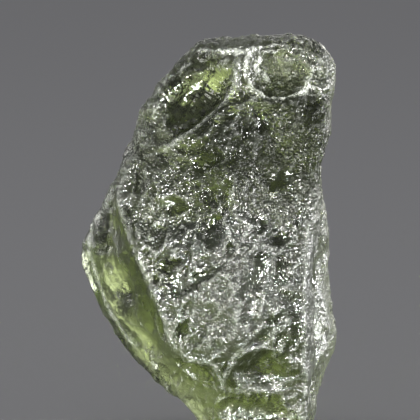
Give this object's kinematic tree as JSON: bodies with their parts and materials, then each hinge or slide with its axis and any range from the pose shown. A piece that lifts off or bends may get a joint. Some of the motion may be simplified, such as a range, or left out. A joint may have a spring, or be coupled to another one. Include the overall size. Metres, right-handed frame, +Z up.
{
  "type": "moldavite",
  "caption": "Raw piece of green moldavite glass, etched all over with pits and grooves, with chipped hollows at the top and a flat break at its foot to stand on.",
  "frame": {"origin": "middle of the stone's bounding box at foot level, on the surface that it stands on", "axes": "+Z up along the stone's length, +X to the right and -Y towards the viewer in the front view, and Y along its thinnest way"},
  "size_m": [0.0148, 0.0098, 0.023],
  "materials": {
    "moldavite_glass": "natural green glass, see-through in thin places, with an etched, sparkling skin"
  },
  "bodies": {
    "root": {"moldavite": "moldavite_glass"}
  },
  "joints": []
}
